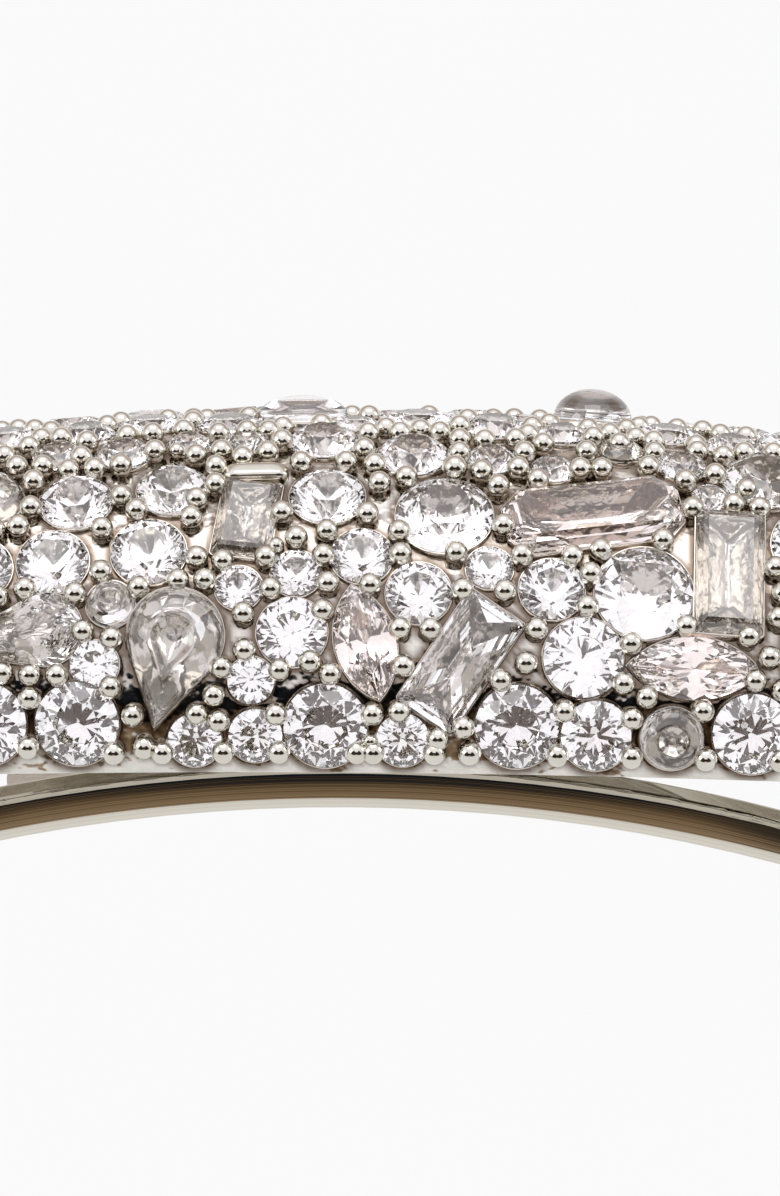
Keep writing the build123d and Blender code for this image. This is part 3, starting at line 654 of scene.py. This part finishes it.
def make_stones(stones):
    for node, own in stones.items():
        parts, smooth = [], []
        for stone in own:
            points, faces, domed_faces = cut(stone)
            parts.append((placed(stone, points), faces))
            smooth += [i < domed_faces for i in range(len(faces))]
        blush = node in BLUSH_NODES
        material, slot = (BLUSH, "blush_stone") if blush else (CLEAR, "clear_stone")
        piece = new_piece(node + "_cut", *gather(parts), material, "bar", slot, smooth)
        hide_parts(node)


# ---------------------------------------------------------------- seats
# distance out from a stone's outline, and height over its flat back
SEAT_PROFILE = (
    (0.075, -0.45), (0.07, -0.08), (0.06, -0.02), (0.04, 0.012), (0.018, 0.015), (0.010, -0.03),
    (-0.13, -0.17), (-0.13, -0.45),
)


def seat_ring(stone):
    """Raised rim round a stone, with the ledge that its girdle rests on."""
    edge = outline(stone)
    away = outward(edge)
    rings = []
    for out, level in SEAT_PROFILE:
        rings.append([(x, y, level) for x, y in edge + away * out])
    points, faces = stacked(rings, close_top=False, close_bottom=False)
    count, last = len(edge), (len(SEAT_PROFILE) - 1) * len(edge)
    for i in range(count):
        after = (i + 1) % count
        faces.append([last + i, i, after, last + after])
    return placed(stone, points), [list(reversed(face)) for face in faces]


def make_seats(stones):
    rings = gather([seat_ring(stone) for stone in stones])
    piece = new_piece("stone_seats", *rings, SEAT, "bar", "cast_metal", smooth=True)
    piece.data.set_sharp_from_angle(angle=SEAT_SHARP)


# ---------------------------------------------------------------- paved shell
HALF_LENGTH, SECTION_RADIUS, ARCH_RADIUS, RIM_Z, WALL = 42.0, 8.2, 177.0, 11.0, 1.2
SECTION_ANGLE = radians(75.0)
END_TURN, CAVITY_TURN = radians(80.0), radians(66.0)
GRID = 0.14                 # size of the paved face's grid
INNER_COLUMNS = 13          # the cavity's wall has far fewer points
RIM_ANGLE = radians(74.2)    # where the shell is cut off, above a polished rim
SEAT_CLEAR = 0.05           # free under a stone
SEAT_LEDGE = 0.06           # and the seat starts this far inside its outline
BEYOND_STONE, BEYOND_BEAD = 0.8, 0.5    # metal farther off than this is open
NO_STONE_NEAR = 9.0         # room where no stone is within reach
GAP_SHADE_FROM, GAP_SHADE_TO = 0.14, 0.36    # painted shade darkens the plating in gaps narrower than this
SEAT_UNSHADED = 0.75                       # and gets only a little painted shade in the seats, under the stones
BEAD_SHADE_FADE = 1.3                      # how fast the painted shade fades away from a prong


def section_radius(x):
    return SECTION_RADIUS * np.sqrt(1 - (x / HALF_LENGTH) ** 2)


def shell_point(x, angle, inset=0.0):
    """Point of the shell's surface, or of one parallel to it, from X and the angle towards the front."""
    radius = section_radius(x)
    rim = RIM_Z - ARCH_RADIUS + np.sqrt(ARCH_RADIUS**2 - x**2)
    reach = radius - inset
    height = rim - radius * cos(SECTION_ANGLE) + reach * np.cos(angle)
    return np.stack([x + 0 * angle, -reach * np.sin(angle), height], axis=-1)


def shell_normal(x, angle):
    nudge = 1e-3
    along = shell_point(x + nudge, angle) - shell_point(x - nudge, angle)
    up = shell_point(x, angle - nudge) - shell_point(x, angle + nudge)
    normal = np.cross(along, up)
    return normal / np.linalg.norm(normal, axis=-1)[..., None]


def sink_seats(points, stones, beads):
    """Sinks the grid under each stone to a seat that follows its underside, and finds how much painted shade
    it gets.
    """
    flat = points.reshape(-1, 3)
    room = np.full(len(flat), NO_STONE_NEAR)
    for stone in stones:
        reach = np.linalg.norm(flat - stone["centre"], axis=1) < stone["length"] / 2 + BEYOND_STONE
        index = np.nonzero(reach)[0]
        local = (flat[index] - stone["centre"]) @ stone["axes"].T
        outside = distance_outside(local[:, :2], outline(stone))
        room[index] = np.minimum(room[index], outside)
        inside = outside < -SEAT_LEDGE
        if is_flat_backed(stone):
            target = np.full(inside.sum(), -SEAT_CLEAR)
        else:
            slope = pavilion_depth(stone) / (stone["width"] / 2)
            target = -SEAT_CLEAR + slope * outside[inside]
        drop = np.minimum(target - local[inside, 2], 0)
        flat[index[inside]] += drop[:, None] * stone["axes"][2]
    for x, angle, size, _ in beads:
        apart = np.linalg.norm(flat - shell_point(np.array(x), np.array(angle)), axis=1) - BEAD_RADIUS * size
        near = (apart < BEYOND_BEAD) & (room > 0)
        room[near] = np.minimum(room[near], BEAD_SHADE_FADE * apart[near] + GAP_SHADE_FROM)
    # share free of painted shade: 0 in the narrowest gaps, 1 on open metal
    unshaded_share = np.clip((room - GAP_SHADE_FROM) / (GAP_SHADE_TO - GAP_SHADE_FROM), 0, 1)
    # painted shade: the seats under the stones get a fixed light darkening
    return flat.reshape(points.shape), np.where(room < -SEAT_LEDGE, SEAT_UNSHADED, unshaded_share)


def shell_stations():
    """X of each section, close together, with one at each end of the cavity."""
    end, cavity = HALF_LENGTH * sin(END_TURN), HALF_LENGTH * sin(CAVITY_TURN)
    inner = np.linspace(-cavity, cavity, 2 * round(cavity / GRID) + 1)
    outer = np.linspace(cavity, end, round((end - cavity) / GRID) + 1)[1:]
    return np.concatenate([-outer[::-1], inner, outer]), len(outer)


def cavity_wall(x, solid):
    """Points of the cavity's wall, a row at each station between the solid ends."""
    radius = section_radius(x)
    rows = []
    for i in range(solid, len(x) - solid):
        foot = np.arccos(radius[i] * cos(RIM_ANGLE) / (radius[i] - WALL))
        turns = np.linspace(-foot, foot, INNER_COLUMNS)
        rows.append(shell_point(np.full(INNER_COLUMNS, x[i]), turns, WALL))
    return np.concatenate(rows)


def shell_faces(rows, columns, solid):
    """Faces of the paved face, the cavity's wall, the rim and the solid ends."""

    def at(row, column):
        return row * columns + column

    def wall(row, column):
        return rows * columns + (row - solid) * INNER_COLUMNS + column

    edge, last = columns - 1, INNER_COLUMNS - 1
    faces = [
        [at(i, j), at(i, j + 1), at(i + 1, j + 1), at(i + 1, j)] for i in range(rows - 1) for j in range(edge)
    ]
    for i in range(solid, rows - solid - 1):
        for j in range(last):
            faces.append([wall(i, j), wall(i + 1, j), wall(i + 1, j + 1), wall(i, j + 1)])
        faces.append([at(i, 0), at(i + 1, 0), wall(i + 1, 0), wall(i, 0)])
        faces.append([at(i, edge), wall(i, last), wall(i + 1, last), at(i + 1, edge)])
    for i, flip in ((solid, 1), (rows - solid - 1, -1)):
        faces.append([wall(i, j) for j in range(INNER_COLUMNS)][::flip])
    for first in (0, rows - solid - 1):
        for i in range(first, first + solid):
            faces.append([at(i, 0), at(i + 1, 0), at(i + 1, edge), at(i, edge)])
    faces.append([at(0, j) for j in range(columns)][::-1])
    faces.append([at(rows - 1, j) for j in range(columns)])
    return faces


def make_shell(stones, beads):
    x, solid = shell_stations()
    across = 2 * round(SECTION_RADIUS * SECTION_ANGLE / GRID)
    angle = np.linspace(-RIM_ANGLE, RIM_ANGLE, across + 1)
    outer, unshaded = sink_seats(shell_point(x[:, None], angle[None, :]), stones, beads)
    points = np.concatenate([outer.reshape(-1, 3), cavity_wall(x, solid)])
    faces = shell_faces(*outer.shape[:2], solid)
    piece = new_piece("paved_shell", points, faces, CAST, "bar", "cast_metal", smooth=True)
    mesh = bmesh.new()
    mesh.from_mesh(piece.data)
    bmesh.ops.recalc_face_normals(mesh, faces=mesh.faces)
    mesh.to_mesh(piece.data)
    mesh.free()
    # the room attribute carries that share to the material's painted shade
    attribute = piece.data.attributes.new("room", "FLOAT", "POINT")
    attribute.data.foreach_set("value", np.concatenate([unshaded, np.ones(len(points) - len(unshaded))]))
    piece.data.set_sharp_from_angle(angle=SHELL_SHARP)
    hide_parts("dome_shell")


# ---------------------------------------------------------------- stones with a cut of their own
PROUD_LIFT = 0.12
SAME_PLACE = 0.7
# cut, X in mm and degrees from the crown towards the front
SPECIAL_CUTS = (
    ("ringed", -6.5, 49.7), ("ringed", -8.3, 38.0), ("ringed", 8.4, 65.4), ("smooth", -12.35, 10.5),
    ("crossed", 2.12, 50.6), ("proud", 6.1, -31.0),
)


def choose_cuts(stones):
    for kind, x, angle in SPECIAL_CUTS:
        place = shell_point(np.array(x), np.array(radians(angle)))
        for stone in stones:
            if np.linalg.norm(stone["centre"] - place) < SAME_PLACE:
                stone["cut"] = kind
                if kind == "proud":
                    stone["centre"] = stone["centre"] + PROUD_LIFT * stone["axes"][2]


# ---------------------------------------------------------------- ball prongs
BEAD_RADIUS, BEAD_RISE, FREE_RISE = 0.355, 0.25, 0.12
# places in the listed front patch: X in mm, degrees from the crown towards the front, size
PATCH_BEADS = (
    (-10.9, -8.5), (-10.45, 0.5), (-9.3, -2), (-9.15, -9), (-9.95, -12), (-8.1, 2), (-7.1, -3),
    (-5.85, -0.5), (-8.05, 12), (-10.75, 13.7), (-11.1, 18.8), (-11.8, 19.4), (-8.6, 20.6), (-8.6, 31),
    (-5.95, 18.6), (-5.8, 13.7), (-5.75, 28.5), (-10.85, 34.2), (-9.35, 35.8), (-11.65, 35.6),
    (-7.45, 34.9), (-6.3, 33.6), (-5.5, 33.6), (-6.45, -3.6, 0.7), (-9.1, 44), (-8.25, 45.7),
    (-10.65, 52.8), (-9.85, 53), (-10.65, 57.6), (-8.25, 55.8), (-10.7, 68), (-8.15, 70), (-7.25, 68.3),
    (-6.7, 70.8), (-5.7, 61.5), (-5.1, -2), (-5.2, -10), (-4.35, -11), (-3.7, -10.5), (-3.7, -1), (-2.7, 3),
    (-1.35, 3), (-0.5, 3.8), (-0.35, 9.6), (-0.7, -9), (0.25, -9.5), (-3.25, 17.8), (-2.8, 24.2),
    (-1.9, 22.6), (-0.7, 18.2), (0.25, 22.7), (0.3, 28), (-3.7, 28.7), (-3.4, 25.8, 0.7), (-3.55, 35.8),
    (-1.85, 34.6), (-0.6, 35), (-4.35, 41), (-2, 40.5), (-4.3, 48.6), (-2.35, 51), (-3.25, 52.7),
    (-1.75, 53.5), (0.3, 44.2), (-5.2, 57.8), (-5.05, 63), (-3.35, 61.7), (-0.5, 61.6), (0.3, 61),
    (-4.9, 69.5), (-3.25, 69.8), (-0.95, 71), (-0.45, 71.5), (-0.55, 67.2, 0.7), (0.4, 51.8), (2.15, 35.8),
    (3.4, 35.8), (1.2, 44.2), (4.35, 43.7), (4.05, 50.7), (3.3, 54.4), (5.85, 38.6), (2.2, 64.1),
    (1.45, 66.5), (2.4, 70.2), (1.35, 71.6), (5, 69.8), (5.2, 60.3), (1.9, 4.8, 1.1), (0.45, 7.8),
    (2.7, 5.3), (3.2, 9.8), (3.8, 3.9), (3.35, 20.6), (1.95, 27.5), (3.9, 27.7), (5.4, 27.5), (6.25, 25.7),
    (5.65, 3.2), (6.3, 2.8), (5.85, -3.6), (4.55, -6), (2.8, -6.5), (1.45, -10), (2.05, -14), (7.7, 1),
    (7.9, -5), (6.85, -8), (8.8, 5), (9, 13.4), (9.7, 2), (10.65, 6.4), (11, 11.8), (8.1, 22.4),
    (11.45, 27.3), (9.2, -7), (10.6, -8.5), (11.6, 4), (8.8, 41.8), (10.65, 43.3), (7.15, 46), (6.95, 54.3),
    (10.85, 52.5), (9.3, 59.3), (7.2, 61.4), (7.2, 69.9), (9.4, 70.3), (11.6, 69),
)
PATCH_X, PATCH_BACK = 12.0, radians(-12.0)
PATCH_ROOM = 0.2            # the patch takes another prong only where this much metal is free
CREST_X, CREST_BACK, CREST_ROOM = 13.0, radians(-45.0), 0.19    # and so does the crest behind it
# places that stay bare: X range, angle range
OPEN_METAL = ((8.2, 12.2, 14, 27), (-0.7, 0.6, 13.5, 19.5), (-5.2, -2.9, 1, 10))
BEAD_APART = 0.74
LOWEST_BEAD = 69.4                      # degrees
FREE_REACH, FREE_STEP, FREE_TURN = 40.6, 0.13, 0.95    # where free prongs are tried: X, its steps, degrees
FREE_SEARCH = 1.2                       # stones farther off than this leave a place free
LEAST_ROOM, BEAD_LAP, SMALLEST_BEAD = 0.07, 0.15, 0.72
BEAD_GROUPS = (("left", -50, -20), ("middle_left", -20, 0), ("middle_right", 0, 20), ("right", 20, 50))

BEAD_SIDES, BEAD_RINGS = 20, 9
POST_FOOT, POST_TOP, POST_LEVEL, POST_DEPTH = 0.72, 0.74, 0.62, 0.35    # shares of the ball's radius, and mm
BALL_START = radians(30)                # the ball starts this far under its middle
FIRST_RING, RING_TRIM = 0.35, 0.3       # and its rings keep clear of both ends
NOT_A_PRONG_AXIS = (0.0, 0.31, 0.95)


def bead_mesh(centre, normal, radius, rise):
    """Ball on a short post, square to the shell."""
    profile = [(radius * POST_FOOT, -POST_DEPTH), (radius * POST_TOP, rise - radius * POST_LEVEL)]
    for i in range(BEAD_RINGS):
        tilt = (pi / 2 + BALL_START) * (i + FIRST_RING) / (BEAD_RINGS - RING_TRIM) - BALL_START
        profile.append((radius * cos(tilt), rise + radius * sin(tilt)))
    side = np.cross(normal, NOT_A_PRONG_AXIS)
    side /= np.linalg.norm(side)
    up = np.cross(normal, side)
    points, faces = [], []
    for reach, height in profile:
        for i in range(BEAD_SIDES):
            turn = 2 * pi * i / BEAD_SIDES
            points.append(centre + normal * height + (side * cos(turn) + up * sin(turn)) * reach)
    for level in range(len(profile) - 1):
        for i in range(BEAD_SIDES):
            a, b = level * BEAD_SIDES + i, level * BEAD_SIDES + (i + 1) % BEAD_SIDES
            faces.append([a, b, b + BEAD_SIDES, a + BEAD_SIDES])
    faces.append([(len(profile) - 1) * BEAD_SIDES + i for i in range(BEAD_SIDES)])
    faces.append(list(reversed(range(BEAD_SIDES))))
    return np.array(points), faces


def free_beads(stones, taken):
    """Places for prongs in the widest gaps between stones, outside the listed patch."""
    x = np.arange(-FREE_REACH, FREE_REACH, FREE_STEP)
    angle = np.radians(np.arange(-LOWEST_BEAD, LOWEST_BEAD, FREE_TURN))
    points = shell_point(x[:, None], angle[None, :]).reshape(-1, 3)
    places = np.stack(np.meshgrid(x, angle, indexing="ij"), axis=-1).reshape(-1, 2)
    room = np.full(len(points), NO_STONE_NEAR)
    for stone in stones:
        reach = stone["length"] / 2 + FREE_SEARCH
        near = np.nonzero(np.linalg.norm(points - stone["centre"], axis=1) < reach)[0]
        local = (points[near] - stone["centre"]) @ stone["axes"].T
        room[near] = np.minimum(room[near], distance_outside(local[:, :2], outline(stone)))
    in_patch = (np.abs(places[:, 0]) < PATCH_X) & (places[:, 1] > PATCH_BACK)
    closed = in_patch & (room < PATCH_ROOM)
    crest = (np.abs(places[:, 0]) < CREST_X) & (places[:, 1] < PATCH_BACK) & (places[:, 1] > CREST_BACK)
    closed |= crest & (room < CREST_ROOM)
    for left, right, low, high in OPEN_METAL:
        inside = (places[:, 0] > left) & (places[:, 0] < right)
        closed |= inside & (places[:, 1] > radians(low)) & (places[:, 1] < radians(high))
    order = np.argsort(-room, kind="stable")
    chosen, centres = [], [np.array(shell_point(np.array(a), np.array(b))) for a, b in taken]
    kept = np.array(centres)
    for i in order:
        if room[i] < LEAST_ROOM:
            break
        if closed[i] or np.linalg.norm(kept - points[i], axis=1).min() < BEAD_APART:
            continue
        kept = np.vstack([kept, points[i]])
        size = min(max((room[i] + BEAD_LAP) / BEAD_RADIUS, SMALLEST_BEAD), 1.0)
        chosen.append((places[i, 0], places[i, 1], size, BEAD_RISE if in_patch[i] else FREE_RISE))
    return chosen


def place_beads(stones):
    patch = [
        (x, radians(min(angle, LOWEST_BEAD)), size[0] if size else 1.0, BEAD_RISE)
        for x, angle, *size in PATCH_BEADS
    ]
    free = free_beads(stones, [(x, angle) for x, angle, _, _ in patch])
    groups = {"ball_prongs_patch": patch}
    for name, low, high in BEAD_GROUPS:
        groups["ball_prongs_" + name] = [bead for bead in free if low <= bead[0] < high]
    return groups


def make_beads(groups):
    for name, beads in groups.items():
        parts = []
        for x, angle, size, rise in beads:
            place = np.array(x), np.array(angle)
            centre, normal = shell_point(*place), shell_normal(*place)
            parts.append(bead_mesh(centre, normal, BEAD_RADIUS * size, rise * size))
        piece = new_piece(name, *gather(parts), BEAD, "bar", "cast_metal", smooth=True)
        piece.data.set_sharp_from_angle(angle=BEAD_SHARP)


BAR_X, BAR_ANGLE = -4.05, radians(5.6)
BAR_HALF = (1.0, 0.36, 0.42)     # along the bar, across it and in height
BAR_SQUARE = 0.55                # 1 makes an ellipsoid, less makes it boxier
BAR_RINGS, BAR_SIDES, BAR_TILT = 15, 40, 84


def make_bar_prong():
    """Rounded bar that holds the upper edge of the step-cut stone."""
    x, angle = np.array(BAR_X), np.array(BAR_ANGLE)
    centre, out = shell_point(x, angle), shell_normal(x, angle)
    along = np.cross((0.0, 1.0, 0.0), out)
    axes = np.stack([along, np.cross(out, along), out])

    def power(value):
        return np.sign(value) * abs(value) ** BAR_SQUARE

    rings = []
    for tilt in np.radians(np.linspace(BAR_TILT, -BAR_TILT, BAR_RINGS)):
        ring = []
        for turn in np.linspace(0, 2 * pi, BAR_SIDES, endpoint=False):
            reach = power(cos(tilt))
            shares = np.array([reach * power(cos(turn)), reach * power(sin(turn)), power(sin(tilt))])
            ring.append(centre + (shares * BAR_HALF) @ axes)
        rings.append(ring)
    points, faces = stacked(rings)
    new_piece("bar_prong", points, faces, BEAD, "bar", "cast_metal", smooth=True)


# ---------------------------------------------------------------- mechanism
FINISHES = {
    "back_plate": STRIP, "mount_pad": STRIP, "clip_base": STRIP, "catch_saddle": STRIP,
    "squeeze_wing_front": STRIP, "squeeze_wing_back": STRIP,
    "leaf_anchor_tab": SPRING, "tension_leaf": SPRING,
    "base_rivets": RIVET, "hinge_pin": RIVET, "leaf_rivet": RIVET, "catch_rivet": RIVET, "clip_arm": ARM,
    "dome_shell": CAST,
}


def finish_mechanism():
    """Gives every CAD node its finish, the ones that stand behind a piece too."""
    finishes = dict(FINISHES)
    finishes.update({node: BLUSH if node in BLUSH_NODES else CLEAR for node in SHAPES})
    for node, material in finishes.items():
        mesh = nodes[node].data
        if not mesh.materials:
            mesh.materials.append(material)
        for i in range(len(mesh.materials)):
            mesh.materials[i] = material


# ---------------------------------------------------------------- studio
FLOOR_REACH = 1.5           # metres, each way from the middle


def make_floor():
    """Pale floor under the clip, as far down as the open arm can reach."""
    low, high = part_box("clip_arm")
    depth = high[0] - low[0]
    mesh = bpy.data.meshes.new("floor")
    corners = [(x * FLOOR_REACH, y * FLOOR_REACH, -depth) for x, y in ((-1, -1), (1, -1), (1, 1), (-1, 1))]
    mesh.from_pydata(corners, [], [[0, 1, 2, 3]])
    mesh.materials.append(pale_floor("pale_floor"))
    floor = bpy.data.objects.new("floor", mesh)
    bpy.context.scene.collection.objects.link(floor)


LIGHT_AIM = Vector((0, 0, 0.01))
# place in metres, size and power
LIGHTS = {
    "overhead": ((0.0, 0.10, 0.80), (0.6, 0.4), 1.3),
    "left": ((-0.75, -0.25, 0.45), (0.4, 0.4), 1.2),
    "right": ((0.80, 0.05, 0.40), (0.3, 0.5), 1.0),
}


def make_lights():
    for name, (place, size, power) in LIGHTS.items():
        data = bpy.data.lights.new(name, "AREA")
        data.shape = "RECTANGLE"
        data.size, data.size_y = size
        data.energy = power
        light = bpy.data.objects.new(name, data)
        light.location = place
        light.rotation_mode = "QUATERNION"
        light.rotation_quaternion = (LIGHT_AIM - Vector(place)).to_track_quat("-Z", "Y")
        bpy.context.scene.collection.objects.link(light)


# colours by the height of the direction looked in, from the horizon up
SKY = [
    (0.0, (0.80, 0.80, 0.81)), (0.35, (0.90, 0.89, 0.90)),
    (0.7, (1.03, 1.01, 1.05)), (1.0, (1.19, 1.16, 1.22)),
]
BROWNS = [
    (0.11, (0.36, 0.27, 0.19)), (0.243, (0.24, 0.165, 0.10)), (0.348, (0.12, 0.08, 0.045)),
    (0.40, (0.010, 0.012, 0.016)),
]
BLACK_GAP, CLOUDED_GAP, HAZE = (0.035, 0.028, 0.022), (0.10, 0.084, 0.080), (0.56, 0.47, 0.43)
# heights of the dark gap, low, high and how soft: straight ahead, to its sides, and seen through glass
AHEAD_GAP, SIDE_GAP, GLASS_GAP = (0.11, 0.60, 0.01), (0.07, 0.72, 0.02), (0.08, 0.46, 0.02)
# where each part of the world begins and where it is whole, on the axis that it follows
ASIDE, NEAR_SIDE = (0.22, 0.32), (-0.52, -0.62)
HAZE_FOOT, HAZE_TOP, FAR_SIDE = (0.05, 0.20), (0.70, 0.52), (0.25, 0.45)
WORLD_STRENGTH = 1.09


def make_world():
    """White studio, greyer low down, with warm haze behind and a dark gap low on the near side."""
    world = bpy.data.worlds.new("studio")
    world.use_nodes = True
    tree = world.node_tree
    split = tree.nodes.new("ShaderNodeSeparateXYZ")
    tree.links.new(tree.nodes.new("ShaderNodeTexCoord").outputs["Generated"], split.inputs["Vector"])
    x, y, z = (split.outputs[axis] for axis in "XYZ")

    def band(low, high, soft):
        rise, fall = step(tree, z, low - soft, low + soft), step(tree, z, high + soft, high - soft)
        return combine(tree, "MULTIPLY", rise, fall)

    through = tree.nodes.new("ShaderNodeLightPath").outputs["Is Transmission Ray"]
    aside = step(tree, combine(tree, "ABSOLUTE", x), *ASIDE)
    gap = blend(tree, through, blend(tree, aside, band(*AHEAD_GAP), band(*SIDE_GAP)), band(*GLASS_GAP))
    gap = combine(tree, "MULTIPLY", gap, step(tree, y, *NEAR_SIDE))
    dark = blend(tree, through, blend(tree, aside, ramp(tree, z, BROWNS), BLACK_GAP), CLOUDED_GAP)
    haze = combine(tree, "MULTIPLY", step(tree, z, *HAZE_FOOT), step(tree, z, *HAZE_TOP))
    haze = combine(tree, "MULTIPLY", haze, step(tree, y, *FAR_SIDE))
    sky = blend(tree, haze, ramp(tree, z, SKY), HAZE)
    background = tree.nodes["Background"]
    tree.links.new(blend(tree, gap, sky, dark), background.inputs["Color"])
    background.inputs["Strength"].default_value = WORLD_STRENGTH
    bpy.context.scene.world = world


def set_look():
    scene = bpy.context.scene
    scene.view_settings.view_transform = "Standard"
    scene.cycles.max_bounces = 24
    scene.cycles.transmission_bounces = 24
    scene.cycles.glossy_bounces = 12
    scene.cycles.diffuse_bounces = 4


# ---------------------------------------------------------------- the whole scene
make_camera()
make_world()
make_lights()
make_floor()
set_look()

stones = read_stones()
all_stones = [stone for own in stones.values() for stone in own]
choose_cuts(all_stones)
make_stones(stones)
make_seats(all_stones)
prongs = place_beads(all_stones)
make_beads(prongs)
make_bar_prong()
make_shell(all_stones, [bead for group in prongs.values() for bead in group])
finish_mechanism()
